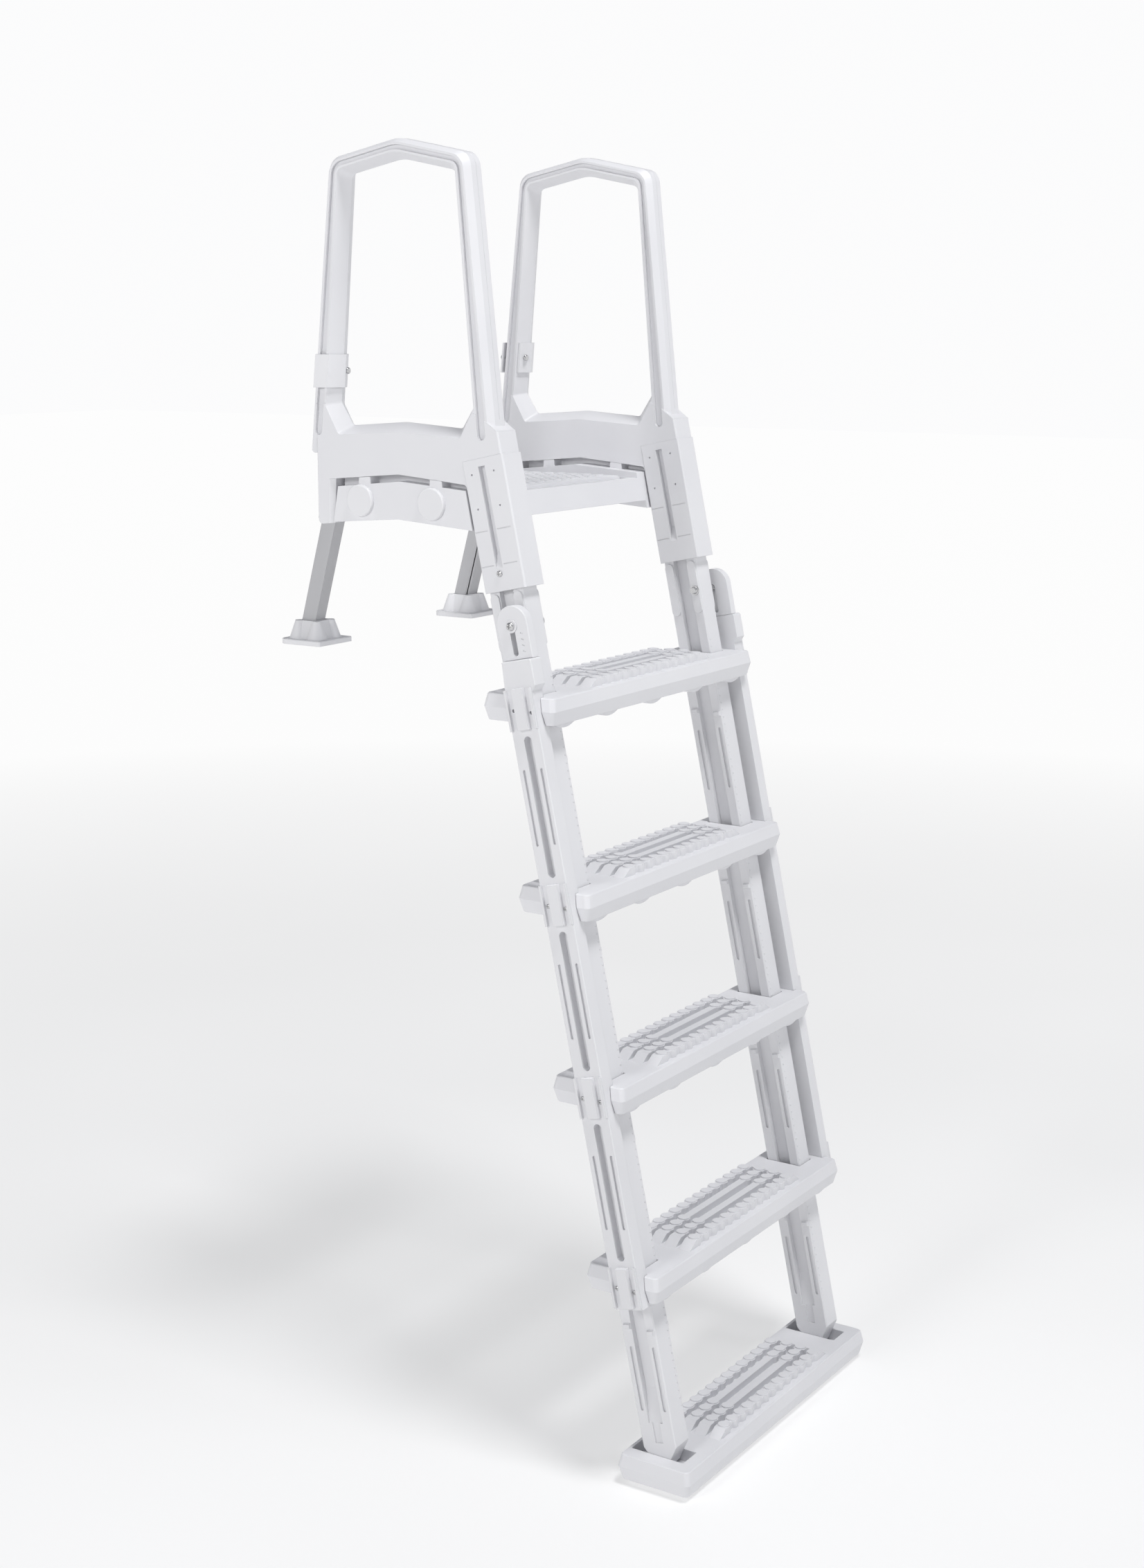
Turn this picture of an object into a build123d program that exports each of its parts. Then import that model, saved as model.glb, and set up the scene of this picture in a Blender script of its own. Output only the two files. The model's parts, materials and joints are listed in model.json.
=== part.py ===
"""Deck-mounted pool ladder: five treads on two raked rails, side frames with handrails, a platform
and two adjustable deck legs. Millimetres. +X right seen from the pool, -Y towards the pool, +Z up."""
import os
from math import cos, radians, sin

from build123d import *

# ---- driving dimensions -------------------------------------------------------------------------
TREAD_W = 610.0          # tread width, side to side
TREAD_D = 128.3          # tread depth at its edge ridge
TREAD_GAP = 295.5        # tread spacing along the rails
RAKE = 12.016            # rails lean back from vertical by this angle
LOOP_H = 587.0           # top of the handrail above the frame datum
LEG_TILT = 15.7          # deck legs splay back by this angle
LEG_X = 209.8            # deck leg centre from the middle plane
FLANGE = 84.5            # deck flange, square
FLANGE_HOLES = 64.0      # spacing of the four flange holes
FLANGE_HOLE_R = 3.2
SLOT_TRAVEL = 40.0       # height adjustment of the four upper treads

TREADS = 5
TREAD_UP, TREAD_DOWN = 20.0, 21.0
FRAME_X = TREAD_W / 2 - 49.25            # centre plane of each rail and side frame
PANEL_T, PLATE_T, POST_T = 49.0, 51.0, 46.0
RAIL_T, RAIL_FRONT, RAIL_BACK = 39.5, -26.5, 34.0
RAIL_MID = (RAIL_FRONT + RAIL_BACK) / 2
OUTER_IN, OUTER_OUT = 36.4, 63.0         # outer rail faces, from the frame's centre plane
OUTER_FRONT, OUTER_BACK = -41.0, 8.3
SLEEVE_LOW = (TREADS - 1) * TREAD_GAP + 175.9
SLEEVE_HIGH = SLEEVE_LOW + 198.8
BOLT_U, BOLT_V, BOLT_R = SLEEVE_LOW - 53.3, -17.6, 4.0
RIB_ROWS = [-39.75, -13.25, 13.25, 39.75]
DISC_PITCH, DISC_R, RIB_H, DISC_H = 25.4, 10.5, 11.5, 2.0
PAD_HALF = 52.0                          # half length of the pads under each tread
STUB_Z = 196.0                           # top of the frame panel at the rear post
LEAN_OUT, LEAN_IN = 0.10687, 0.0858      # handrail post lean, outer and inner outline
FLUTE_FOOT, FLUTE_DEPTH = 154.8, 6.0     # foot of the handrail's flutes, depth from the panel's face

s, c = sin(radians(RAKE)), cos(radians(RAKE))
DATUM_Y, DATUM_Z = SLEEVE_LOW * s + 196.8, SLEEVE_LOW * c + 71.9
leg_s, leg_c = sin(radians(LEG_TILT)), cos(radians(LEG_TILT))


def slant(x):
    """Plane across the ladder at x: sketch X runs back square to the rails, sketch Y runs up them."""
    return Plane(origin=(x, 0, 0), x_dir=(0, c, -s), z_dir=(1, 0, 0))


def across(u):
    """Plane square to the rails at distance u up them: sketch X is X, sketch Y runs back."""
    return Plane(origin=(0, u * s, u * c), x_dir=(1, 0, 0), z_dir=(0, s, c))


def upright(x):
    """Plane across the ladder at x, from the frame datum: sketch X is Y, sketch Y is Z."""
    return Plane(origin=(x, DATUM_Y, DATUM_Z), x_dir=(0, 1, 0), z_dir=(1, 0, 0))


def level(z):
    """Horizontal plane at height z above the frame datum."""
    return Plane(origin=(0, DATUM_Y, DATUM_Z + z), x_dir=(1, 0, 0), z_dir=(0, 0, 1))


def gable(half, lean, apex, base, slope=0.2035):
    """House outline: side lines at half - lean * z, a shallow roof with its apex in the middle."""
    eave = (half - lean * apex) / (1 - lean * slope)
    z = apex - slope * eave
    b = half - lean * base
    return [(-b, base), (-eave, z), (0, apex), (eave, z), (b, base)]


def both(part):
    """The right-hand part and its mirror image."""
    return {"right": part, "left": mirror(part, Plane.YZ)}


parts = {}

# ---- side frame: handrail loop, panel, rear column and rail sleeve in one moulding ----------------
SIDE_HALF, INNER_HALF = 181.75, 155.77
loop_top = LOOP_H - 6

with BuildPart() as side_frame:
    # handrail loop with its outer edges chamfered
    for x, grow in ((-POST_T / 2, 0), (-12, 7.4), (12, 7.4), (POST_T / 2, 0)):
        with BuildSketch(upright(x)) as outline:
            with BuildLine():
                FilletPolyline(*gable(SIDE_HALF + grow, LEAN_OUT, loop_top + grow * 0.8, 120),
                               radius=(6, 25, 60, 25, 6), close=True)
            make_face()
    loft(ruled=True)
    # panel and rear column
    with BuildSketch(upright(-PANEL_T / 2)) as outline:
        with BuildLine():
            Polyline((156.5, 10), (127.5, 13), (124.7, 81.5), (0, 92.2), (-122.6, 81.3), (-150, 60),
                     (-185.1, 140), (-180.5, 162.1), (-160.5, 176.6), (-120, 196), (156.5, STUB_Z),
                     close=True)
        make_face()
        fillet(outline.vertices().sort_by(Axis.Y)[0], 7)
    extrude(amount=PANEL_T)
    # the column's inner edges are broadly chamfered
    column_front = side_frame.edges().filter_by(
        lambda e: abs(e.center().Y - DATUM_Y - 126.1) < 1 and e.length > 60
        and abs(abs(e.center().X) - PANEL_T / 2) < 0.1)
    chamfer(column_front, 5, 9, reference=side_frame.faces().sort_by_distance(
        (0, DATUM_Y + 126.1, DATUM_Z + 47))[0])
    # sleeve round the rail
    with BuildSketch(across(SLEEVE_LOW)) as section:
        with Locations((0, 0.7)):
            Rectangle(PLATE_T, 75.4)
        chamfer(section.vertices(), 2.5)
    extrude(amount=SLEEVE_HIGH - SLEEVE_LOW)
    # nose standing on the sleeve, up to the shoulder of the panel
    with BuildSketch(across(SLEEVE_HIGH - 5)) as section:
        with Locations((0, -16)):
            Rectangle(PANEL_T, 38.4)
        chamfer(section.vertices(), 2.5)
    extrude(amount=37.9)
    # window inside the handrail, its walls meeting in a ridge on the middle plane
    for x, grow in ((-POST_T / 2 - 3, -1.7), (0, 13), (POST_T / 2 + 3, -1.7)):
        with BuildSketch(upright(x)) as outline:
            top = gable(INNER_HALF - grow, LEAN_IN, loop_top - 14 - grow * 0.77, 194 + grow * 0.3)
            low = [(114 - grow * 0.85, 150 + grow), (0, 157.3 + grow), (grow * 0.85 - 114, 150 + grow)]
            with BuildLine():
                FilletPolyline(*top, *low, radius=(6, 13, 60, 13, 6, 6, 60, 6), close=True)
            make_face()
    loft(ruled=True, mode=Mode.SUBTRACT)
    # flute along both faces of the handrail, its round feet on the panel
    for face in (-1, 1):
        with BuildSketch(upright(face * PANEL_T / 2)):
            with BuildLine():
                FilletPolyline(*gable(SIDE_HALF - 4.4, LEAN_OUT, loop_top - 3.6, FLUTE_FOOT),
                               radius=(1, 22, 60, 22, 1), close=True)
            make_face()
            with BuildLine():
                FilletPolyline(*gable(INNER_HALF + 4.4, LEAN_IN, loop_top - 10.4, FLUTE_FOOT - 30),
                               radius=(1, 15, 60, 15, 1), close=True)
            make_face(mode=Mode.SUBTRACT)
            with Locations((-153.8, FLUTE_FOOT), (153.8, FLUTE_FOOT)):
                Circle(6.9)
        extrude(amount=-face * FLUTE_DEPTH, mode=Mode.SUBTRACT)
    # socket for the rail, open at the bottom
    with BuildSketch(across(SLEEVE_LOW - 1)):
        with Locations((0, RAIL_MID)):
            Rectangle(RAIL_T + 0.7, 61.2)
    extrude(amount=151, mode=Mode.SUBTRACT)
    # keys that run in the rail's grooves, each hollowed from outside
    for face in (-1, 1):
        with BuildSketch(slant(face * 21)):
            with Locations((3.65, SLEEVE_LOW + 105)):
                Rectangle(16.5, 178)
        extrude(amount=-face * 7)
        with BuildSketch(Plane(origin=(0, 3.65 * c, -3.65 * s), x_dir=(face, 0, 0), z_dir=(0, c, -s))):
            low, high, skin = -face * (SLEEVE_LOW + 34), -face * (SLEEVE_HIGH - 11.7), PLATE_T / 2
            with BuildLine():
                Polyline((skin + 1, low), (skin, low), (skin - 9, low - face * 24), (skin - 9, high),
                         (skin + 1, high), close=True)
            make_face()
        extrude(amount=5.75, both=True, mode=Mode.SUBTRACT)
        with BuildSketch(slant(face * PLATE_T / 2)):
            with Locations(*[(v, SLEEVE_HIGH - d) for v in (23.3, -17.25) for d in (21.8, 73.3)]):
                Circle(1.5)
        extrude(amount=-face * 3, mode=Mode.SUBTRACT)
        with BuildSketch(slant(face * PLATE_T / 2)):
            for d in (106.9, 159.3):
                for v in (25.3, -17.4):
                    with Locations((v, SLEEVE_HIGH - d)):
                        Rectangle(24.2, 1.2)
        extrude(amount=-face * 0.8, mode=Mode.SUBTRACT)
    # screw hole at the foot of the recess, and the collar bolt's hole through the rear post
    with BuildSketch(slant(PLATE_T / 2)):
        with Locations((5, SLEEVE_LOW + 26)):
            Circle(2.6)
    extrude(amount=-10.5, mode=Mode.SUBTRACT)

# ---- handrail collar: a clip round the rear post, open towards the middle -------------------------
COLLAR_H, COLLAR_LIFT = 50.5, {"left": 220.0, "right": 232.5}
NUT_OUT = 4.4                            # nut's seat behind the post's outer flat


def post_at(z):
    """Rear post at height z above the datum: outer flat, side edge, inner edge and inner ridge."""
    out, inner = SIDE_HALF - LEAN_OUT * z, INNER_HALF - LEAN_IN * z
    return out + 7.4, out, inner, inner - 13


def collar_outline(z, gap, open_x):
    """Clip outline at height z, grown by gap from the post; open_x is its inner end."""
    flat, edge, inner, ridge = post_at(z)
    side = POST_T / 2 + gap
    return [(open_x, flat + gap), (12, flat + gap), (side, edge + gap * 0.6), (side, inner - gap),
            (0, ridge - gap * 1.2), (open_x, ridge - gap * 1.2 - open_x * 13 / 23)]


collars, collar_bolts = {}, {}
for name, low in COLLAR_LIFT.items():
    bolt_z = low + COLLAR_H / 2
    flat, edge, inner, ridge = post_at(bolt_z)
    with BuildPart() as collar:
        for z in (low, low + COLLAR_H):
            with BuildSketch(level(z)):
                with BuildLine():
                    Polyline(*collar_outline(z, 3.6, -20), close=True)
                make_face()
        loft(ruled=True)
        for z in (low, low + COLLAR_H):
            with BuildSketch(level(z)):
                with BuildLine():
                    Polyline(*collar_outline(z, 0.4, -30), close=True)
                make_face()
        loft(ruled=True, mode=Mode.SUBTRACT)
        with BuildSketch(Plane(origin=(-11, DATUM_Y + flat + 20, DATUM_Z + bolt_z),
                               x_dir=(1, 0, 0), z_dir=(0, -1, 0))):
            Circle(2.9)
        extrude(amount=100, mode=Mode.SUBTRACT)
        # spot face under the bolt's head
        with BuildSketch(Plane(origin=(-11, DATUM_Y + ridge + 0.7, DATUM_Z + bolt_z),
                               x_dir=(1, 0, 0), z_dir=(0, -1, 0))):
            Circle(5.6)
        extrude(amount=20, mode=Mode.SUBTRACT)
    with BuildPart() as bolt:
        with BuildSketch(Plane(origin=(-11, DATUM_Y + flat + NUT_OUT, DATUM_Z + bolt_z),
                               x_dir=(1, 0, 0), z_dir=(0, -1, 0))):
            Circle(2.6)
        extrude(amount=flat + NUT_OUT - ridge - 0.6)
        with BuildSketch(Plane(origin=(-11, DATUM_Y + flat + NUT_OUT, DATUM_Z + bolt_z),
                               x_dir=(1, 0, 0), z_dir=(0, 1, 0))):
            RegularPolygon(5, 6)
        extrude(amount=3.6)
        with BuildSketch(Plane(origin=(-11, DATUM_Y + ridge + 0.6, DATUM_Z + bolt_z),
                               x_dir=(1, 0, 0), z_dir=(0, -1, 0))):
            Circle(5)
        extrude(amount=3.2)
        fillet(bolt.edges().filter_by(GeomType.CIRCLE).sort_by(Axis.Y)[0], 2)
    collars[name], collar_bolts[name] = collar.part, bolt.part

for name, low in COLLAR_LIFT.items():
    flat, edge, inner, ridge = post_at(low + COLLAR_H / 2)
    with BuildPart() as drilled:
        add(side_frame.part)
        with BuildSketch(Plane(origin=(-11, DATUM_Y + flat + 20, DATUM_Z + low + COLLAR_H / 2),
                               x_dir=(1, 0, 0), z_dir=(0, -1, 0))):
            Circle(2.9)
        extrude(amount=80, mode=Mode.SUBTRACT)
    right = Pos(FRAME_X, 0, 0)
    for stem, solid in (("side_frame", drilled.part), ("handrail_collar", collars[name]),
                        ("collar_bolt", collar_bolts[name])):
        placed = right * solid
        parts[f"{stem}_{name}"] = placed if name == "right" else mirror(placed, Plane.YZ)

# ---- rails: the inner rail telescopes in the sleeve and its foot sits in the bottom tread ---------
RAIL_TOP = SLEEVE_LOW + 142
with BuildPart() as inner_rail:
    with BuildSketch(slant(-RAIL_T / 2)) as outline:
        with BuildLine():
            Polyline((RAIL_FRONT, 25), (-3, -10), (10.6, -10), (RAIL_BACK, 25), (RAIL_BACK, RAIL_TOP),
                     (RAIL_FRONT, RAIL_TOP), close=True)
        make_face()
    extrude(amount=RAIL_T)
    long_edges = inner_rail.edges().filter_by(lambda e: e.length > RAIL_TOP * 0.8)
    chamfer(long_edges, 2)
    for face in (-1, 1):
        # groove between the lands, shallow at the foot and ramped to its full depth
        with BuildSketch(Plane(origin=(0, 3 * c, -3 * s), x_dir=(face, 0, 0), z_dir=(0, c, -s))):
            with BuildLine():
                up = -1 if face > 0 else 1
                Polyline((21, up * 62.8), (RAIL_T / 2 - 2, up * 62.8), (10, up * 118),
                         (10, up * (RAIL_TOP + 1)), (21, up * (RAIL_TOP + 1)), close=True)
            make_face()
        extrude(amount=12.5, both=True, mode=Mode.SUBTRACT)
        with BuildSketch(slant(face * RAIL_T / 2)):
            with Locations((2.5, 47)):
                Rectangle(13, 32.5)
        extrude(amount=-face * 2, mode=Mode.SUBTRACT)
        with BuildSketch(slant(face * RAIL_T / 2)):
            for k in range(1, TREADS):
                with Locations(*[(v, k * TREAD_GAP - 162) for v in (23, BOLT_V)]):
                    SlotOverall(103, 5, rotation=90)
        extrude(amount=-face * 3, mode=Mode.SUBTRACT)
        # stop blocks under each upper tread, and the pads below the sleeve
        with BuildSketch(slant(face * RAIL_T / 2)):
            for k in range(1, TREADS):
                with Locations((22.6, k * TREAD_GAP - 77.7), (-18.2, k * TREAD_GAP - 87.2)):
                    Rectangle(13, 9)
        extrude(amount=face * 4, taper=20)
        with BuildSketch(slant(face * RAIL_T / 2)) as pads:
            for v, wide in ((24.5, 15), (-17.6, 15)):
                with Locations((v, SLEEVE_LOW - 47.5)):
                    SlotOverall(88, wide, rotation=90)
        extrude(amount=face * 3)
    with BuildSketch(slant(-40)):
        with Locations((BOLT_V, BOLT_U)):
            Circle(BOLT_R + 0.2)
    extrude(amount=80, mode=Mode.SUBTRACT)

with BuildPart() as outer_rail:
    low, high = TREAD_GAP - 35.5, (TREADS - 1) * TREAD_GAP + 72.2
    with BuildSketch(slant(OUTER_IN)) as outline:
        with BuildLine():
            Polyline((OUTER_FRONT, low), (OUTER_BACK, low), (OUTER_BACK, high - 50), (5, high - 4),
                     (5, high), (-48.6, high), (-48.6, high - 40), (OUTER_FRONT, high - 48),
                     close=True)
        make_face()
        fillet(outline.vertices().sort_by(Axis.Z)[:2], 4)
    extrude(amount=OUTER_OUT - OUTER_IN)
    chamfer(outer_rail.faces().sort_by(Axis.X)[-1].edges().filter_by(lambda e: e.length > 40), 1.5)
    for k in range(1, TREADS):
        u = k * TREAD_GAP
        with BuildSketch(slant(OUTER_OUT)):
            with Locations((-18.3, u)):
                Rectangle(20.6, 63)
        extrude(amount=8, taper=6)
        with BuildSketch(slant(OUTER_OUT)):
            with Locations((5.4, u), (-38.4, u)):
                Rectangle(4, 62)
        extrude(amount=4.5)
        with BuildSketch(slant(OUTER_OUT)):
            with Locations((-2, u - 1), (-32.3, u - 7)):
                Circle(2.6)
        extrude(amount=-40, mode=Mode.SUBTRACT)
        if k > 1:
            with BuildSketch(slant(OUTER_OUT)):
                with Locations((-18, u - TREAD_GAP / 2)):
                    SlotOverall(TREAD_GAP - 82, 13.2, rotation=90)
            extrude(amount=-14, mode=Mode.SUBTRACT)
            with BuildSketch(slant(OUTER_OUT)):
                with Locations((-1.7, u - TREAD_GAP / 2), (-33, u - TREAD_GAP / 2)):
                    SlotOverall(TREAD_GAP - 180, 4.4, rotation=90)
            extrude(amount=-4, mode=Mode.SUBTRACT)

# ---- adjuster link: its slot rides on the rail's bolt ---------------------------------------------
LINK_IN, LINK_OUT, LINK_MID, LINK_R = 36.4, 52.3, -18.8, 27.2
with BuildPart() as adjuster_link:
    top = BOLT_U + 30.4 - LINK_R
    low = (TREADS - 1) * TREAD_GAP + 72.6
    with BuildSketch(slant(LINK_IN)):
        with Locations((LINK_MID, (top + low) / 2)):
            Rectangle(2 * LINK_R, top - low)
        with Locations((LINK_MID, top)):
            Circle(LINK_R)
    extrude(amount=LINK_OUT - LINK_IN)
    chamfer(adjuster_link.faces().sort_by(Axis.X)[-1].edges(), 1.2)
    with BuildSketch(slant(LINK_IN - 1)):
        with Locations((BOLT_V, BOLT_U - SLOT_TRAVEL / 2)):
            SlotOverall(SLOT_TRAVEL + 2 * BOLT_R + 0.8, 2 * BOLT_R + 0.8, rotation=90)
    extrude(amount=30, mode=Mode.SUBTRACT)
    with BuildSketch(slant(LINK_OUT)):
        for i in range(4):
            with Locations((LINK_MID - 14.5, BOLT_U - 12 - i * 9)):
                Rectangle(4.5, 1.6, rotation=20)
    extrude(amount=-0.8, mode=Mode.SUBTRACT)


def pan_head(x, v, u, r, length, head_r, head_h):
    """Cross-recess pan-head screw with its head's underside at x, pointing towards the middle."""
    with BuildPart() as screw:
        with BuildSketch(slant(x)):
            with Locations((v, u)):
                Circle(head_r)
        extrude(amount=head_h)
        fillet(screw.faces().sort_by(Axis.X)[-1].edges(), head_h * 0.7)
        with BuildSketch(slant(x + head_h)):
            with Locations((v, u)):
                Rectangle(head_r * 1.1, head_r * 0.26, rotation=12)
                Rectangle(head_r * 0.26, head_r * 1.1, rotation=12)
        extrude(amount=-head_h * 0.6, mode=Mode.SUBTRACT)
        with BuildSketch(slant(x)):
            with Locations((v, u)):
                Circle(r)
        extrude(amount=-length)
    return screw.part


with BuildPart() as adjuster_washer:
    with BuildSketch(slant(LINK_OUT + 0.1)):
        with Locations((BOLT_V, BOLT_U)):
            Circle(10)
            Circle(BOLT_R + 0.1, mode=Mode.SUBTRACT)
    extrude(amount=1.8)

adjuster_screw = pan_head(LINK_OUT + 1.9, BOLT_V, BOLT_U, BOLT_R, 77, 6.5, 4.6)
sleeve_screw = pan_head(PLATE_T / 2, 5, SLEEVE_LOW + 26, 2.4, 10, 4.8, 3.2)
for stem, solid in (("inner_rail", inner_rail.part), ("outer_rail", outer_rail.part),
                    ("adjuster_link", adjuster_link.part), ("adjuster_washer", adjuster_washer.part),
                    ("adjuster_screw", adjuster_screw), ("sleeve_screw", sleeve_screw)):
    for name, solid in both(Pos(FRAME_X, 0, 0) * solid).items():
        parts[f"{stem}_{name}"] = solid

# ---- treads: blunt-edged planks with four studded ribs --------------------------------------------
with BuildPart() as plank:
    for z, inset in ((-TREAD_DOWN, 5), (0, 0), (TREAD_UP, 4)):
        with BuildSketch(Plane.XY.offset(z)):
            RectangleRounded(TREAD_W - 2 * inset, TREAD_D - 2 * inset, 8)
    loft(ruled=True)
    chamfer(plank.faces().sort_by(Axis.Z)[-1].edges(), 1.5)
    # rounded pads under the tread
    with BuildSketch(Plane.XZ.offset(-PAD_HALF)):
        with Locations(*[(x, 51 - TREAD_DOWN) for x in (-FRAME_X, -132, 0, 132, FRAME_X)]):
            Circle(59)
        with Locations((0, 66 - TREAD_DOWN)):
            Rectangle(2 * TREAD_W, 130, mode=Mode.SUBTRACT)
    extrude(amount=2 * PAD_HALF)
    # ribs, each ending in a wider sloping foot
    for y in RIB_ROWS:
        with BuildSketch(Plane.XZ.offset(-y - 6.5)):
            with BuildLine():
                Polyline((-178, TREAD_UP), (-164, TREAD_UP + RIB_H), (164, TREAD_UP + RIB_H),
                         (178, TREAD_UP), close=True)
            make_face()
        extrude(amount=13)
        for end in (-1, 1):
            with BuildSketch(Plane.XZ.offset(-y - 10)):
                with BuildLine():
                    Polyline((end * 152, TREAD_UP), (end * 152, TREAD_UP + RIB_H),
                             (end * 164, TREAD_UP + RIB_H), (end * 183, TREAD_UP), close=True)
                make_face()
            extrude(amount=20)
    # studs: a full row at the edges, three at each end of the middle ribs
    for row, y in enumerate(RIB_ROWS):
        steps = range(-6, 7) if row in (0, 3) else (-6, -5, -4, 4, 5, 6)
        shift = 0 if row in (0, 3) else 8
        for r, h in ((DISC_R, RIB_H), (DISC_R - 1.2, RIB_H + DISC_H)):
            with BuildSketch(Plane.XY.offset(TREAD_UP)):
                with Locations(*[(i * DISC_PITCH + shift, y) for i in steps]):
                    Circle(r)
            extrude(amount=h)

for k in range(TREADS):
    u = k * TREAD_GAP
    with BuildPart() as tread:
        if k == 0:
            with Locations((0, 4.1, -11.7)):
                add(plank.part)
            with BuildSketch(Plane.XY.offset(TREAD_UP)):
                with Locations((-FRAME_X, 12.1), (FRAME_X, 12.1)):
                    Rectangle(RAIL_T + 1.3, 92)
            extrude(amount=-(TREAD_UP + 12.1), mode=Mode.SUBTRACT)
        else:
            with Locations((0, u * s, u * c)):
                add(plank.part)
            # rail pocket, outer rail notch and screw holes at each end
            with BuildSketch(across(u - 60)):
                with Locations((-FRAME_X, RAIL_MID), (FRAME_X, RAIL_MID)):
                    Rectangle(RAIL_T + 2.5, RAIL_BACK - RAIL_FRONT + 3)
            extrude(amount=120, mode=Mode.SUBTRACT)
            with BuildSketch(across(u - 60)):
                for end in (-1, 1):
                    with Locations((end * (FRAME_X + OUTER_IN + 14.5), (OUTER_FRONT + OUTER_BACK) / 2)):
                        Rectangle(30, OUTER_BACK - OUTER_FRONT + 1.4)
            extrude(amount=120, mode=Mode.SUBTRACT)
            if k < TREADS - 1:
                for end in (-1, 1):
                    with BuildSketch(slant(end * (FRAME_X + OUTER_IN))):
                        with Locations((-2, u - 1), (-32.3, u - 7)):
                            Circle(2.4)
                    extrude(amount=-end * 12, mode=Mode.SUBTRACT)
    parts[f"tread_{k + 1}"] = tread.part

# screws through the outer rails into the three lower of those treads; the top holes stay open
screw = pan_head(OUTER_OUT, 0, 0, 2.2, 36, 3.6, 2.4)
spots = [(v, k * TREAD_GAP + d) for k in range(1, TREADS - 1) for v, d in ((-2, -1), (-32.3, -7))]
for name, end in (("right", 1), ("left", -1)):
    row = [Pos(FRAME_X, v * c + u * s, u * c - v * s) * screw for v, u in spots]
    group = Compound(row)
    parts[f"tread_screws_{name}"] = group if end > 0 else mirror(group, Plane.YZ)

# ---- platform: a tray whose ends carry the side frames --------------------------------------------
INNER_X = FRAME_X - PLATE_T / 2 - 2.2
END_X = FRAME_X + PANEL_T / 2 + 0.8
LEG_W, LEG_D = 29.8, 26.6
LEG_Y, LEG_Z = 241.4, -153.4             # rear edge of the leg where it meets its flange
with BuildPart() as platform:
    with BuildSketch(Plane.YZ.offset(-INNER_X)) as outline:
        with BuildLine():
            Polyline((-123, 26), (-128.5, 45), (-123, 64), (0, 76), (121, 64), (127, 45), (121, 26),
                     (0, 30), close=True)
        make_face()
    extrude(amount=2 * INNER_X)
    with BuildSketch(Plane.YZ.offset(-END_X)):
        with BuildLine():
            Polyline((-137, 13.6), (-125, 72.5), (-1.5, 81.9), (116.8, 70.1), (126.8, 14.9),
                     (1.9, 24.2), close=True)
        make_face()
    extrude(amount=2 * END_X)
    # open the middle down to the tray floor, then raise the studded deck inside it
    with BuildSketch(Plane.XY.offset(120)):
        Rectangle(2 * INNER_X - 40, 300)
    extrude(amount=-56, mode=Mode.SUBTRACT)
    with BuildSketch(Plane.XY):
        Rectangle(2 * INNER_X - 8, 300)
    extrude(amount=26, mode=Mode.SUBTRACT)
    with BuildSketch(Plane.XY.offset(64)):
        Rectangle(2 * INNER_X - 52, 226)
    extrude(amount=-12, mode=Mode.SUBTRACT)
    with BuildSketch(Plane.XY.offset(52)):
        Rectangle(2 * INNER_X - 64, 214)
    extrude(amount=16, taper=22)
    with BuildSketch(Plane.XY.offset(68)):
        with GridLocations(DISC_PITCH, DISC_PITCH, 14, 7):
            Circle(DISC_R - 0.8)
    extrude(amount=DISC_H)
    # upstands that hold the side frames, two at each end
    for end in (-1, 1):
        with BuildSketch(Plane.YZ.offset(end * (FRAME_X - PANEL_T / 2))):
            for y0, y1 in ((52.2, 77.4), (-83.3, -57.4)):
                with BuildLine():
                    Polyline((y0, 60), (y0 + 2, 91.9 - 0.0885 * abs(y0 + 2)),
                             (y1 - 2, 91.9 - 0.0885 * abs(y1 - 2)), (y1, 60), close=True)
                make_face()
        extrude(amount=end * (PANEL_T + 0.8))
        # web closing the gap under the side frame
        with BuildSketch(Plane.YZ.offset(end * FRAME_X)):
            with BuildLine():
                Polyline((-121, 50), (-121, 91.9 - 0.0889 * 121), (0, 91.9), (121, 91.9 - 0.0889 * 121),
                         (121, 44), close=True)
            make_face()
        extrude(amount=3, both=True)
    # sleeves at the rear corners for the deck legs, square to the legs' splay
    for end in (-1, 1):
        with BuildSketch(Plane(origin=(end * LEG_X, 0, 0), x_dir=(0, 1, 0), z_dir=(1, 0, 0))):
            with BuildLine():
                run = leg_s / leg_c
                back = LEG_Y - (14 - LEG_Z) * run
                Polyline((110, 16), (back - 20, 14), (back + 5, 14), (back + 5 - 56 * run, 70),
                         (110, 62), close=True)
            make_face()
        extrude(amount=19.4, both=True)
        axis = Plane(origin=(end * LEG_X, LEG_Y - LEG_D / 2 / leg_c, LEG_Z), x_dir=(1, 0, 0),
                     z_dir=(0, -leg_s, leg_c))
        with BuildSketch(axis):
            Rectangle(LEG_W + 0.7, LEG_D + 0.7)
        extrude(amount=400, mode=Mode.SUBTRACT)
home = Pos(0, DATUM_Y, DATUM_Z)
parts["platform"] = home * platform.part

# round covers over the platform's fixings
for name, end in (("right", 1), ("left", -1)):
    with BuildPart() as caps:
        with BuildSketch(Plane.YZ.offset(END_X)):
            with Locations((71.8, 50.1), (-63.3, 50.1)):
                Circle(24.4)
        extrude(amount=6)
        fillet(caps.faces().sort_by(Axis.X)[-2:].edges(), 2.2)
    placed = home * caps.part
    parts[f"platform_caps_{name}"] = placed if end > 0 else mirror(placed, Plane.YZ)

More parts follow.
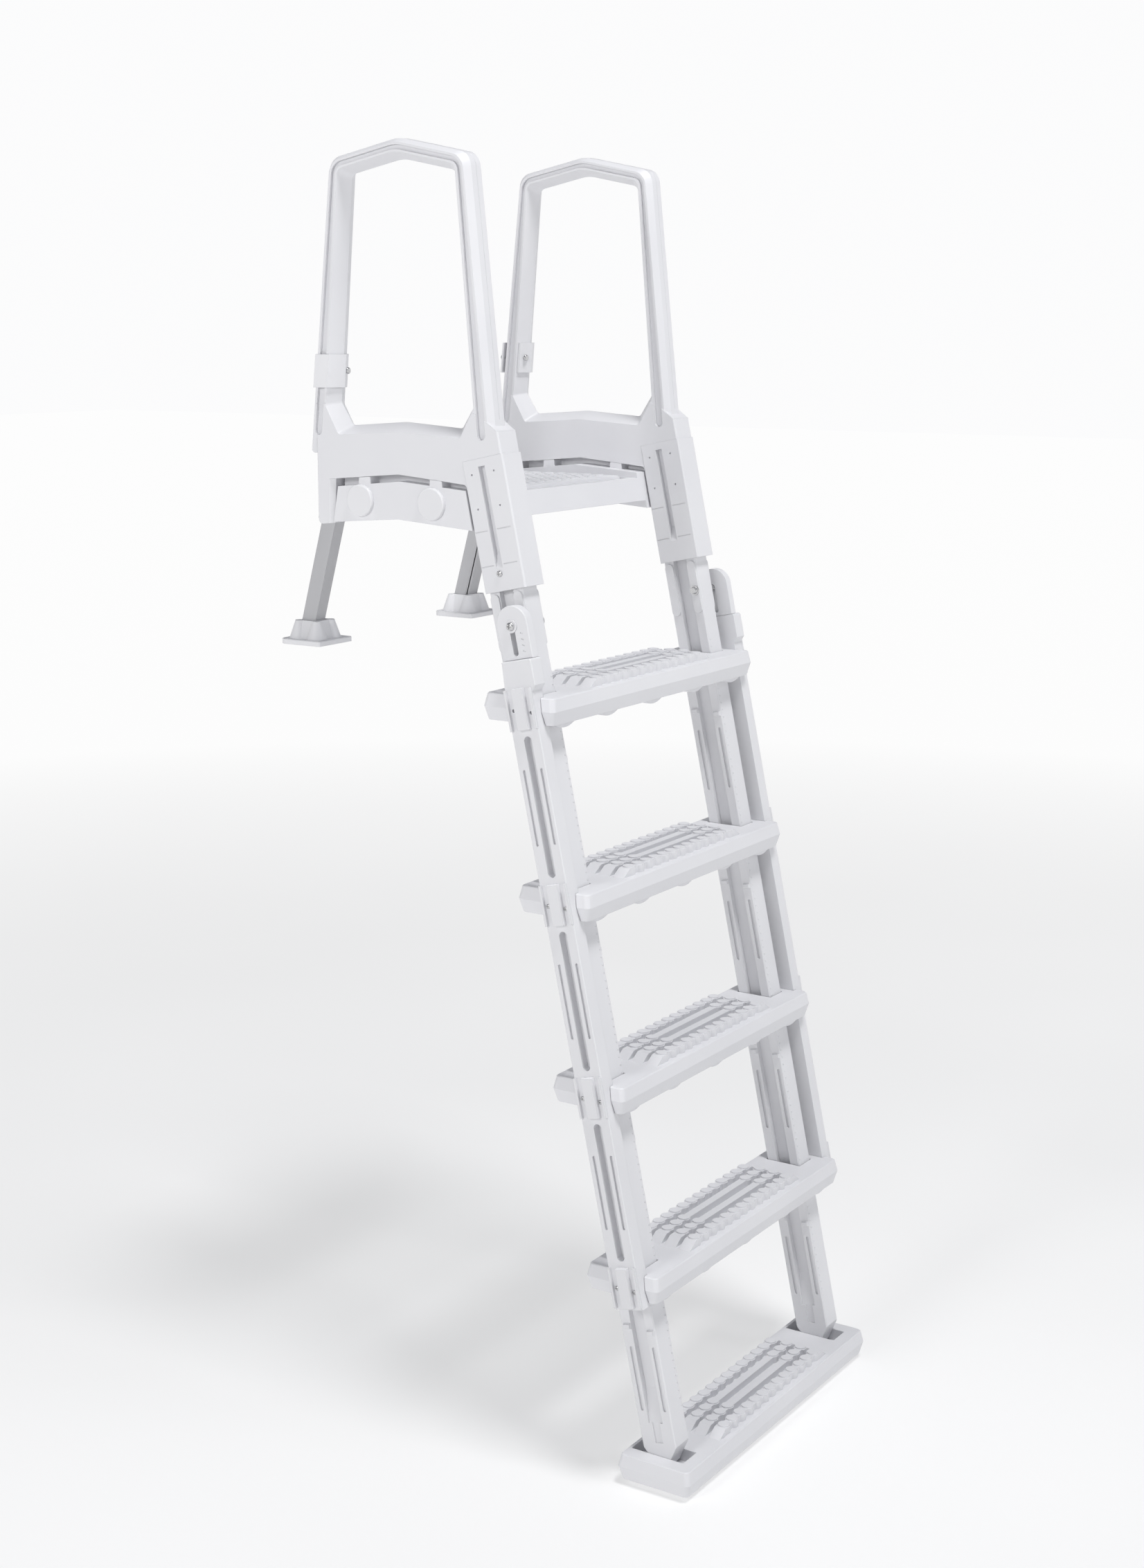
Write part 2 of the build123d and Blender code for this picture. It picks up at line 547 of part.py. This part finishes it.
# ---- deck legs and their flanges ------------------------------------------------------------------
foot = LEG_Z - 22
with BuildPart() as deck_leg:
    mid = LEG_Y - LEG_D / 2 / leg_c
    base = Plane(origin=(LEG_X, mid + (LEG_Z - foot) * leg_s / leg_c, foot), x_dir=(1, 0, 0),
                 z_dir=(0, -leg_s, leg_c))
    with BuildSketch(base) as section:
        Rectangle(LEG_W, LEG_D)
        chamfer(section.vertices().group_by(Axis.X)[0].sort_by(Axis.Y)[0], 6)
        Rectangle(LEG_W - 5, LEG_D - 5, mode=Mode.SUBTRACT)
    extrude(amount=252)

flange_y, flange_z = 226.9, -189.5
PEDESTAL_H, PEDESTAL_RUN = 29.0, 0.354   # pedestal height, and how fast its sides draw in
with BuildPart() as deck_flange:
    with BuildSketch(Plane.XY.offset(flange_z)) as plate:
        Rectangle(FLANGE, FLANGE)
        fillet(plate.vertices().group_by(Axis.Y)[-1], 16)
        fillet(plate.vertices().group_by(Axis.Y)[0], 3)
    extrude(amount=8)
    chamfer(deck_flange.faces().sort_by(Axis.Z)[-1].edges(), 1)
    # four-lobed pedestal round the leg
    with Locations((0, 0, flange_z + 8)):
        with GridLocations(35, 35, 2, 2):
            Cone(17, 17 - PEDESTAL_H * PEDESTAL_RUN, PEDESTAL_H, align=(Align.CENTER, Align.CENTER, Align.MIN))
    for wide, deep in ((44, 60), (60, 44)):
        for z in (0, PEDESTAL_H):
            with BuildSketch(Plane.XY.offset(flange_z + 8 + z)):
                Rectangle(wide - 2 * z * PEDESTAL_RUN, deep - 2 * z * PEDESTAL_RUN)
        loft(ruled=True)
    with BuildSketch(Plane.XY.offset(flange_z)):
        with GridLocations(FLANGE_HOLES, FLANGE_HOLES, 2, 2):
            Circle(FLANGE_HOLE_R)
    extrude(amount=8, mode=Mode.SUBTRACT)
with BuildPart() as flange_bored:
    with Locations((LEG_X, flange_y, 0)):
        add(deck_flange.part)
    with BuildSketch(base):
        Rectangle(LEG_W + 0.6, LEG_D + 0.6)
    extrude(amount=80, mode=Mode.SUBTRACT)
for stem, solid in (("deck_leg", deck_leg.part), ("deck_flange", flange_bored.part)):
    for name, placed in both(home * solid).items():
        parts[f"{stem}_{name}"] = placed

# ---- stand the ladder on Z = 0 with its box centred, and write the parts --------------------------
box = Compound(list(parts.values())).bounding_box()
stand = Pos(0, -(box.min.Y + box.max.Y) / 2, -box.min.Z)
os.makedirs("parts", exist_ok=True)
for name, part in parts.items():
    placed = stand * part
    placed.label = name
    export_step(placed, f"parts/{name}.step")
    size = placed.bounding_box().size
    print(f"{name:24s} {size.X:7.1f} {size.Y:7.1f} {size.Z:7.1f}  {placed.volume / 1000:8.1f} cm3")
print("stand", stand.position, "datum", DATUM_Y, DATUM_Z)
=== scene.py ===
# %% [markdown]
# # A white pool ladder
# The ladder is moulded plastic: two looped handrails on side frames, a small platform, raked rails,
# five studded treads and two legs that stand on the deck. The shapes come ready made from CAD, so
# this lesson loads them, gives every surface its finish, and adds the small moulded marks.

# %% Load the frame
import json
import math

import bmesh
import bpy
from mathutils import Matrix, Vector


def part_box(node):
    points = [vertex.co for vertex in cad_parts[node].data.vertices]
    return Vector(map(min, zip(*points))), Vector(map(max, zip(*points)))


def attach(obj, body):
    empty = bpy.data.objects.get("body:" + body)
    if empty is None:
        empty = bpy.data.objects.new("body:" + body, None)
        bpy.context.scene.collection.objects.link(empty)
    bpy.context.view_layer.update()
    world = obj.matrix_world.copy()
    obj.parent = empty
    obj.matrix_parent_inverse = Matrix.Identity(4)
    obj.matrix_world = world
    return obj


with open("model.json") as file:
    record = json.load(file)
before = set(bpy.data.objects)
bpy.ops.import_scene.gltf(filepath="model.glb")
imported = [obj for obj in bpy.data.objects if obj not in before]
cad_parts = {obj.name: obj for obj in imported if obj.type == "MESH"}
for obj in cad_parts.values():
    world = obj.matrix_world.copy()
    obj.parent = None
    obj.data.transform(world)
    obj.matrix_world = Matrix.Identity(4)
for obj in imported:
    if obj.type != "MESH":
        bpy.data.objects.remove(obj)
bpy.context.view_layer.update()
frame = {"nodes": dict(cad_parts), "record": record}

nodes = frame["nodes"]

# %% [markdown]
# ## Where things are
# The rails lean back by a fixed angle. It is handy to talk about a place on a rail as "this far up
# the rail, this far back from its middle", so a small helper turns that into a point in metres.

# %% Places on the rails
RAKE = math.radians(12.016)
TREAD_GAP = 0.2955
FRAME_X = 0.25575
RIDGE_TO_STUDS = 0.0335
UP = Vector((0, math.sin(RAKE), math.cos(RAKE)))
BACK = Vector((0, math.cos(RAKE), -math.sin(RAKE)))


def tread_ridge(number):
    """Middle of a tread's edge ridge, from the tread's box."""
    low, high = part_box(f"tread_{number}")
    return Vector((0, (low[1] + high[1]) / 2, high[2] - RIDGE_TO_STUDS))


RAIL_FOOT = tread_ridge(2) - UP * TREAD_GAP


def on_rail(x, up, back):
    """Point at x across the ladder, this far up a rail and this far back from its middle line."""
    return RAIL_FOOT + UP * up + BACK * back + Vector((x, 0, 0))


print("rail foot:", tuple(round(v, 4) for v in RAIL_FOOT))

# %% [markdown]
# ## The camera
# It stands a few metres off, at head height, in front of the ladder's left side, and looks down a
# little. Azimuth and elevation say which way it faces, so its turn is two plain angles.

# %% Camera
EYE_PLACE = (-3.07107, -1.98491, 1.76751)
AZIMUTH, ELEVATION = math.radians(-57.085), math.radians(11.545)
eye = bpy.data.cameras.new("ladder_view")
eye.lens = 52.51
eye.sensor_width = 36
eye.clip_start, eye.clip_end = 0.05, 200
camera = bpy.data.objects.new("ladder_view", eye)
camera.location = EYE_PLACE
camera.rotation_euler = (math.pi / 2 - ELEVATION, 0, AZIMUTH)
bpy.context.collection.objects.link(camera)
bpy.context.scene.camera = camera
print("camera at", tuple(round(v, 2) for v in camera.location))

# %% [markdown]
# ## Floor and light
# White plastic on a white ground only reads by its shading, so the light has to differ from side to
# side. First come three small helpers that make a material, a node and a colour ramp, because every
# finish below is built from them.

# %% Shader helpers


def new_material(name):
    """Material with its node tree and its main shader."""
    material = bpy.data.materials.new(name)
    material.use_nodes = True
    tree = material.node_tree
    return material, tree, tree.nodes["Principled BSDF"]


def add(tree, kind, **values):
    """New node; a value sets the node's own property, or else the input of that name."""
    node = tree.nodes.new(kind)
    for key, value in values.items():
        if hasattr(node, key):
            setattr(node, key, value)
        else:
            node.inputs[key.replace("_", " ")].default_value = value
    return node


def ramp(tree, factor, stops):
    """Colour ramp driven by a factor, with (place, colour) stops."""
    node = tree.nodes.new("ShaderNodeValToRGB")
    for i, (place, colour) in enumerate(stops):
        point = node.color_ramp.elements[i] if i < 2 else node.color_ramp.elements.new(place)
        point.position = place
        point.color = (*colour, 1)
    tree.links.new(factor, node.inputs["Fac"])
    return node


print("shader helpers ready")

# %% [markdown]
# ### A pale floor with no edge
# The floor is a large plain sheet. Near the ladder it catches light and shadow like paper. Farther
# off its own colour fades to black while a glow takes over, until it is as bright as the sky's
# horizon, so no line shows where the two meet.

# %% Floor
FLOOR_HALF, FLOOR_DROP = 30, 0.001
FADE_NEAR, FADE_FAR = 1.5, 6.0
GLOW_NEAR, GLOW_FAR = 0.46, 0.97
paper, tree, shader = new_material("paper_floor")
spread = add(tree, "ShaderNodeTexCoord")
blotch = add(tree, "ShaderNodeTexNoise", Scale=0.6, Detail=2.0)
tree.links.new(spread.outputs["Object"], blotch.inputs["Vector"])
tint = ramp(tree, blotch.outputs["Fac"], [(0.35, (0.5, 0.5, 0.5)), (0.65, (0.54, 0.54, 0.54))])
reach = add(tree, "ShaderNodeVectorMath", operation="LENGTH")
tree.links.new(spread.outputs["Object"], reach.inputs[0])
away = add(tree, "ShaderNodeMapRange", From_Min=FADE_NEAR, From_Max=FADE_FAR)
tree.links.new(reach.outputs["Value"], away.inputs["Value"])
fade = add(tree, "ShaderNodeMix", data_type="RGBA")
tree.links.new(away.outputs["Result"], fade.inputs["Factor"])
tree.links.new(tint.outputs["Color"], fade.inputs["A"])
fade.inputs["B"].default_value = (0, 0, 0, 1)
glow = add(tree, "ShaderNodeMapRange", From_Min=FADE_NEAR, From_Max=FADE_FAR, To_Min=GLOW_NEAR,
           To_Max=GLOW_FAR)
tree.links.new(reach.outputs["Value"], glow.inputs["Value"])
tree.links.new(fade.outputs["Result"], shader.inputs["Base Color"])
tree.links.new(glow.outputs["Result"], shader.inputs["Emission Strength"])
shader.inputs["Roughness"].default_value = 0.9
shader.inputs["Specular IOR Level"].default_value = 0.05
shader.inputs["Emission Color"].default_value = (1, 1, 1, 1)

sheet = bpy.data.meshes.new("floor")
corners = [(x * FLOOR_HALF, y * FLOOR_HALF, -FLOOR_DROP) for x, y in ((-1, -1), (1, -1), (1, 1), (-1, 1))]
sheet.from_pydata(corners, [], [(0, 1, 2, 3)])
floor = bpy.data.objects.new("floor", sheet)
bpy.context.collection.objects.link(floor)
floor.data.materials.append(paper)
print("floor", FLOOR_HALF * 2, "m across")

# %% [markdown]
# ### A sky that is bright only low down
# A sky that is bright all over lights every face alike and hides the shapes. This one is white at
# the horizon, where it is seen, and drops to a dim blue-grey above, so the lamps can do the shading.

# %% Sky
HORIZON, ZENITH = (0.97, 0.97, 0.975), (0.2, 0.205, 0.22)
HORIZON_TOP, ZENITH_START = 0.13, 0.26
world = bpy.data.worlds.new("studio")
bpy.context.scene.world = world
world.use_nodes = True
tree = world.node_tree
sky = tree.nodes["Background"]
heading = add(tree, "ShaderNodeTexCoord")
height = add(tree, "ShaderNodeSeparateXYZ")
tree.links.new(heading.outputs["Generated"], height.inputs["Vector"])
band = ramp(tree, height.outputs["Z"], [(HORIZON_TOP, HORIZON), (ZENITH_START, ZENITH)])
tree.links.new(band.outputs["Color"], sky.inputs["Color"])
sky.inputs["Strength"].default_value = 1.0
bpy.context.scene.view_settings.view_transform = "Standard"
print("sky: horizon", HORIZON, "zenith", ZENITH)

# %% [markdown]
# ### Three lamps
# A broad lamp high overhead, a little in front, makes the treads' upward faces bright. One at the
# left lights the side frames. A faint bluish one high in front lifts the faces turned to the pool
# and leaves the deck legs in the platform's shade. All three aim at the ladder's middle.

# %% Lamps
TARGET = (0, 0, 1.1)


def lamp(name, place, size, power, colour=(1, 1, 1)):
    """Round area lamp that points at the target."""
    data = bpy.data.lights.new(name, "AREA")
    data.shape, data.size, data.energy, data.color = "DISK", size, power, colour
    light = bpy.data.objects.new(name, data)
    light.location = place
    light.rotation_euler = (Vector(TARGET) - Vector(place)).to_track_quat("-Z", "Y").to_euler()
    bpy.context.collection.objects.link(light)
    return light


lamps = [lamp("overhead", (-0.8, -2.6, 8.0), 1.9, 350),
         lamp("left", (-4.8, 0.4, 2.9), 1.2, 66),
         lamp("front", (0.8, -5.4, 4.2), 1.4, 32, (0.9, 0.94, 1.0))]
print("lamps:", [(light.name, light.data.energy) for light in lamps])

# %% [markdown]
# ## One surface, several plastics
# Moulded polyethylene is never a flat colour. It has a faint orange-peel skin from the mould, slow
# cloudy changes of tone where the wall cooled unevenly, and fine rubbed marks. Those three live in
# one node group, so each plastic can use them at its own strength.

# %% Moulded skin group
RUB_STRETCH = (60, 60, 9)
CLOUD_TO_ROUGH = 0.12


def skin_group():
    """Node group that puts out a cloudy mask, an uneven roughness and an orange-peel height."""
    group = bpy.data.node_groups.new("moulded_skin", "ShaderNodeTree")
    face = group.interface
    face.new_socket("Vector", in_out="INPUT", socket_type="NodeSocketVector")
    for name in ("Grain Scale", "Cloud Scale", "Rub Amount"):
        face.new_socket(name, in_out="INPUT", socket_type="NodeSocketFloat")
    for name in ("Cloud", "Rough", "Height"):
        face.new_socket(name, in_out="OUTPUT", socket_type="NodeSocketFloat")
    enter, leave = group.nodes.new("NodeGroupInput"), group.nodes.new("NodeGroupOutput")
    link = group.links.new
    cloud = add(group, "ShaderNodeTexNoise", Detail=3.0, Roughness=0.55)
    link(enter.outputs["Vector"], cloud.inputs["Vector"])
    link(enter.outputs["Cloud Scale"], cloud.inputs["Scale"])
    grain = add(group, "ShaderNodeTexNoise", Detail=2.0, Roughness=0.6)
    link(enter.outputs["Vector"], grain.inputs["Vector"])
    link(enter.outputs["Grain Scale"], grain.inputs["Scale"])
    stretch = add(group, "ShaderNodeMapping")
    stretch.inputs["Scale"].default_value = RUB_STRETCH
    link(enter.outputs["Vector"], stretch.inputs["Vector"])
    rub = add(group, "ShaderNodeTexNoise", Scale=3.0, Detail=5.0, Roughness=0.7)
    link(stretch.outputs["Vector"], rub.inputs["Vector"])
    streak = ramp(group, rub.outputs["Fac"], [(0.52, (0, 0, 0)), (0.72, (1, 1, 1))])
    worn = add(group, "ShaderNodeMath", operation="MULTIPLY")
    link(streak.outputs["Color"], worn.inputs[0])
    link(enter.outputs["Rub Amount"], worn.inputs[1])
    mixed = add(group, "ShaderNodeMath", operation="MULTIPLY_ADD")
    link(cloud.outputs["Fac"], mixed.inputs[0])
    mixed.inputs[1].default_value = CLOUD_TO_ROUGH
    link(worn.outputs["Value"], mixed.inputs[2])
    link(cloud.outputs["Fac"], leave.inputs["Cloud"])
    link(mixed.outputs["Value"], leave.inputs["Rough"])
    link(grain.outputs["Fac"], leave.inputs["Height"])
    return group


skin = skin_group()
print("group", skin.name, "sockets:", [socket.name for socket in skin.interface.items_tree])

# %% [markdown]
# ### The plastics
# The frames, treads, rails, trim and flanges are all white, but come from different moulds, so each
# has its own tone, gloss and wear. The treads are rubbed the most. The legs are grey and smoother,
# and their grey is darkened further as painted shade for the platform's shadow on their fronts. A
# Bevel node rounds the hard CAD edges for the light only, by about the radius a mould would leave.

# %% Plastics
CLOUD_SCALE, PEEL_DEPTH = 4.0, 0.0006


def plastic(name, dark, light, rough, grain=900.0, bump=0.05, rub=0.15, edge=0.0012):
    """A moulded plastic: cloudy tone between dark and light, orange-peel bump and softened edges."""
    material, tree, shader = new_material(name)
    place = add(tree, "ShaderNodeTexCoord")
    group = tree.nodes.new("ShaderNodeGroup")
    group.node_tree = skin
    tree.links.new(place.outputs["Object"], group.inputs["Vector"])
    for socket, value in (("Grain Scale", grain), ("Cloud Scale", CLOUD_SCALE), ("Rub Amount", rub)):
        group.inputs[socket].default_value = value
    tone = ramp(tree, group.outputs["Cloud"], [(0.3, dark), (0.7, light)])
    tree.links.new(tone.outputs["Color"], shader.inputs["Base Color"])
    polish = add(tree, "ShaderNodeMath", operation="ADD")
    tree.links.new(group.outputs["Rough"], polish.inputs[0])
    polish.inputs[1].default_value = rough
    tree.links.new(polish.outputs["Value"], shader.inputs["Roughness"])
    soft = add(tree, "ShaderNodeBevel", Radius=edge)
    soft.samples = 6
    peel = add(tree, "ShaderNodeBump", Strength=bump, Distance=PEEL_DEPTH)
    tree.links.new(group.outputs["Height"], peel.inputs["Height"])
    tree.links.new(soft.outputs["Normal"], peel.inputs["Normal"])
    tree.links.new(peel.outputs["Normal"], shader.inputs["Normal"])
    shader.inputs["Specular IOR Level"].default_value = 0.45
    return material


FINISH = {
    "frame_plastic": plastic("frame_white", (0.72, 0.72, 0.745), (0.76, 0.76, 0.78), 0.36),
    "tread_plastic": plastic("tread_white", (0.73, 0.73, 0.755), (0.77, 0.77, 0.79), 0.40,
                             rub=0.25, edge=0.0008),
    "rail_plastic": plastic("rail_white", (0.73, 0.73, 0.75), (0.77, 0.77, 0.79), 0.38,
                            rub=0.22, edge=0.001),
    "trim_plastic": plastic("trim_white", (0.74, 0.74, 0.76), (0.78, 0.78, 0.80), 0.34, edge=0.0008),
    # Legs: a grey of their own, darkened further as painted shade for the platform's shadow on their
    # fronts.
    "leg_plastic": plastic("leg_grey_painted_shade", (0.44, 0.44, 0.455), (0.49, 0.49, 0.505), 0.32,
                           grain=1400, bump=0.03),
    "flange_plastic": plastic("flange_white", (0.72, 0.72, 0.74), (0.77, 0.77, 0.79), 0.40, edge=0.0015),
}
print("plastics:", sorted(FINISH))

# %% [markdown]
# ## Stainless screws
# The screws, bolts and nuts are stainless steel, tumbled after they were made: bright, but with a
# fine mottled grain that varies the tone and spreads the highlight.

# %% Steel
steel, tree, shader = new_material("stainless")
place = add(tree, "ShaderNodeTexCoord")
mottle = add(tree, "ShaderNodeTexNoise", Scale=700.0, Detail=4.0)
tree.links.new(place.outputs["Object"], mottle.inputs["Vector"])
tone = ramp(tree, mottle.outputs["Fac"], [(0.3, (0.52, 0.52, 0.53)), (0.7, (0.68, 0.68, 0.68))])
tree.links.new(tone.outputs["Color"], shader.inputs["Base Color"])
shine = ramp(tree, mottle.outputs["Fac"], [(0.3, (0.22, 0.22, 0.22)), (0.7, (0.36, 0.36, 0.36))])
tree.links.new(shine.outputs["Color"], shader.inputs["Roughness"])
shader.inputs["Metallic"].default_value = 1.0
FINISH["steel"] = steel
print("steel ready")

# %% [markdown]
# ## Dressing the CAD shapes
# The record says which kind of surface each CAD shape has. The meshes are left as they are, and only
# their material slots are filled.

# %% Dress the CAD nodes
slot_of = {part["node"]: part["material_slot"] for part in frame["record"]["subparts"]}
for name, node in nodes.items():
    finish = FINISH[slot_of[name]]
    if not node.material_slots:
        node.data.materials.append(finish)
    for holder in node.material_slots:
        holder.material = finish
print("dressed", len(nodes), "nodes in", len(FINISH), "finishes")

# %% [markdown]
# ## Small moulded marks
# Two details are too fine for the CAD and repeat along a path, so they grow from node trees: a scale
# of raised ticks on the front of each inner rail, and the hairline ridge that the two halves of a
# mould leave round each handrail. Each tree takes a plain mesh of points or edges and returns solid
# geometry, which is then kept as an ordinary mesh and rides on the part it belongs to.

# %% Helpers for grown pieces
PLATFORM_FRONT, PLATFORM_UNDER = 0.137, 0.0136
platform_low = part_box("platform")[0]
DATUM = Vector((0, platform_low[1] + PLATFORM_FRONT, platform_low[2] - PLATFORM_UNDER))


def start_tree(name, inputs):
    """Empty geometry tree with a Geometry socket each way and the named inputs."""
    tree = bpy.data.node_groups.new(name, "GeometryNodeTree")
    tree.interface.new_socket("Geometry", in_out="INPUT", socket_type="NodeSocketGeometry")
    for label, kind in inputs.items():
        tree.interface.new_socket(label, in_out="INPUT", socket_type=kind)
    tree.interface.new_socket("Geometry", in_out="OUTPUT", socket_type="NodeSocketGeometry")
    return tree, tree.nodes.new("NodeGroupInput")


def end_tree(tree, enter, geometry):
    """Realize the instances, give them the material and hand them out."""
    real, paint = add(tree, "GeometryNodeRealizeInstances"), add(tree, "GeometryNodeSetMaterial")
    tree.links.new(geometry, real.inputs["Geometry"])
    tree.links.new(real.outputs["Geometry"], paint.inputs["Geometry"])
    tree.links.new(enter.outputs["Material"], paint.inputs["Material"])
    tree.links.new(paint.outputs["Geometry"], tree.nodes.new("NodeGroupOutput").inputs["Geometry"])


def grow(name, base, tree, values, body):
    """Run a tree on a base mesh, keep the result as a plain mesh and let it ride on a body."""
    piece = bpy.data.objects.new(name, base)
    bpy.context.collection.objects.link(piece)
    modifier = piece.modifiers.new(name, "NODES")
    modifier.node_group = tree
    for item in tree.interface.items_tree:
        if item.in_out == "INPUT" and item.name in values:
            modifier[item.identifier] = values[item.name]
    graph = bpy.context.evaluated_depsgraph_get()
    grown = bpy.data.meshes.new_from_object(piece.evaluated_get(graph))
    piece.modifiers.clear()
    piece.data = grown
    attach(piece, body)
    print(name, "-", len(grown.polygons), "faces on", body)


print("datum of the side frames:", tuple(round(v, 6) for v in DATUM))

# %% [markdown]
# ### The scale on the rails
# A row of small raised ticks runs up the front of each inner rail, near its inner edge. Ticks this
# small and this many are best made once and repeated. The tree lays a line of points up the rail from
# each foot point it is given, and puts a small box, leaning with the rail, on every one.

# %% Rail scale
RAIL_FRONT, TICK_IN, TICK_FIRST = -0.0265, 0.0145, 0.08
SCALE_VALUES = {"Ticks": 96, "Pitch": 0.012, "Tick Size": (0.003, 0.0012, 0.0013),
                "Material": FINISH["rail_plastic"]}
tree, enter = start_tree("rail_scale", {
    "Ticks": "NodeSocketInt", "Pitch": "NodeSocketFloat", "Tick Size": "NodeSocketVector",
    "Material": "NodeSocketMaterial"})
step = add(tree, "ShaderNodeVectorMath", operation="SCALE")
step.inputs[0].default_value = UP
tree.links.new(enter.outputs["Pitch"], step.inputs["Scale"])
row = add(tree, "GeometryNodeMeshLine", mode="OFFSET")
tree.links.new(enter.outputs["Ticks"], row.inputs["Count"])
tree.links.new(step.outputs["Vector"], row.inputs["Offset"])
rows = add(tree, "GeometryNodeInstanceOnPoints")
tree.links.new(enter.outputs["Geometry"], rows.inputs["Points"])
tree.links.new(row.outputs["Mesh"], rows.inputs["Instance"])
spots = add(tree, "GeometryNodeRealizeInstances")
tree.links.new(rows.outputs["Instances"], spots.inputs["Geometry"])
tick = add(tree, "GeometryNodeMeshCube")
tree.links.new(enter.outputs["Tick Size"], tick.inputs["Size"])
ticks = add(tree, "GeometryNodeInstanceOnPoints", Rotation=(-RAKE, 0, 0))
tree.links.new(spots.outputs["Geometry"], ticks.inputs["Points"])
tree.links.new(tick.outputs["Mesh"], ticks.inputs["Instance"])
end_tree(tree, enter, ticks.outputs["Instances"])

feet = bpy.data.meshes.new("scale_feet")
feet.from_pydata([on_rail(end * (FRAME_X - TICK_IN), TICK_FIRST, RAIL_FRONT) for end in (-1, 1)], [], [])
grow("rail_scale", feet, tree, SCALE_VALUES, "rails")

# %% [markdown]
# ### The parting line
# A hollow moulding keeps a hairline ridge where its mould closed. Here it follows the middle of each
# handrail's outer flat. Five points give its straight runs, an attribute gives the radius of each
# corner, and the tree rounds the corners and sweeps a thin square along the path.

# %% Parting line
SEAM_VALUES = {"Width": 0.0006, "Material": FINISH["frame_plastic"]}
CORNER_STEPS = 8
tree, enter = start_tree("parting_line", {"Width": "NodeSocketFloat", "Material": "NodeSocketMaterial"})
path = add(tree, "GeometryNodeMeshToCurve")
tree.links.new(enter.outputs["Geometry"], path.inputs["Mesh"])
corner = add(tree, "GeometryNodeInputNamedAttribute", data_type="FLOAT", Name="corner")
bend = add(tree, "GeometryNodeFilletCurve", mode="POLY", Count=CORNER_STEPS)
tree.links.new(path.outputs["Curve"], bend.inputs["Curve"])
tree.links.new(corner.outputs["Attribute"], bend.inputs["Radius"])
bead = add(tree, "GeometryNodeCurvePrimitiveQuadrilateral")
for side in ("Width", "Height"):
    tree.links.new(enter.outputs["Width"], bead.inputs[side])
tube = add(tree, "GeometryNodeCurveToMesh")
tube.inputs["Fill Caps"].default_value = True
tree.links.new(bend.outputs["Curve"], tube.inputs["Curve"])
tree.links.new(bead.outputs["Curve"], tube.inputs["Profile Curve"])
end_tree(tree, enter, tube.outputs["Mesh"])

# %% Handrail path
POST_HALF, POST_LEAN, LOOP_TOP, ROOF = 0.18915, 0.10687, 0.58692, 0.2035
EAVE = (POST_HALF - POST_LEAN * LOOP_TOP) / (1 - POST_LEAN * ROOF)
SEAM_FEET = {-1: 0.178, 1: 0.15}
CORNERS = [0, 0.025, 0.06, 0.025, 0]


def loop_line():
    """The handrail's outer flat from the front foot over the top to the rear foot, as (y, z)."""
    foot = {end: (end * (POST_HALF - POST_LEAN * z), z) for end, z in SEAM_FEET.items()}
    eave = LOOP_TOP - ROOF * EAVE
    return [foot[-1], (-EAVE, eave), (0, LOOP_TOP), (EAVE, eave), foot[1]]


line = [DATUM + Vector((end * FRAME_X, y, z)) for end in (-1, 1) for y, z in loop_line()]
seam = bpy.data.meshes.new("seam_path")
joins = [(i, i + 1) for i in range(len(line) - 1) if i + 1 != len(CORNERS)]
seam.from_pydata(line, joins, [])
seam.attributes.new("corner", "FLOAT", "POINT").data.foreach_set("value", CORNERS * 2)
grow("parting_line", seam, tree, SEAM_VALUES, "frames")

# %% [markdown]
# ## Nuts on the adjuster bolts
# Each bolt runs right through its rail. Its inner end carries a washer and a tapered nut. Both are
# round and stand on one line, so two short cones make each pair, drawn straight into one mesh.

# %% Nuts
BOLT_UP, BOLT_BACK, PAD_FACE = 1.3046, -0.0176, 0.02276
WASHER, NUT = (0.0085, 0.0081, 0.0, 0.0016), (0.0064, 0.0046, 0.0016, 0.0048)
ROUND = 32
form = bmesh.new()
for end in (-1, 1):
    for wide, tip, start, length in (WASHER, NUT):
        spot = on_rail(end * (FRAME_X - PAD_FACE - start - length / 2), BOLT_UP, BOLT_BACK)
        turn = Matrix.Rotation(-end * math.pi / 2, 4, "Y")
        bmesh.ops.create_cone(form, cap_ends=True, segments=ROUND, radius1=wide, radius2=tip, depth=length,
                              matrix=Matrix.Translation(spot) @ turn)
nut_mesh = bpy.data.meshes.new("bolt_nuts")
form.to_mesh(nut_mesh)
form.free()
nut_mesh.materials.append(FINISH["steel"])
nuts = bpy.data.objects.new("bolt_nuts", nut_mesh)
bpy.context.collection.objects.link(nuts)
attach(nuts, "rails")
print("bolt nuts:", len(nut_mesh.polygons), "faces")

# %% [markdown]
# ## Handing over
# The last cell only prints a closing line.

# %% Hand over
print("scene done")
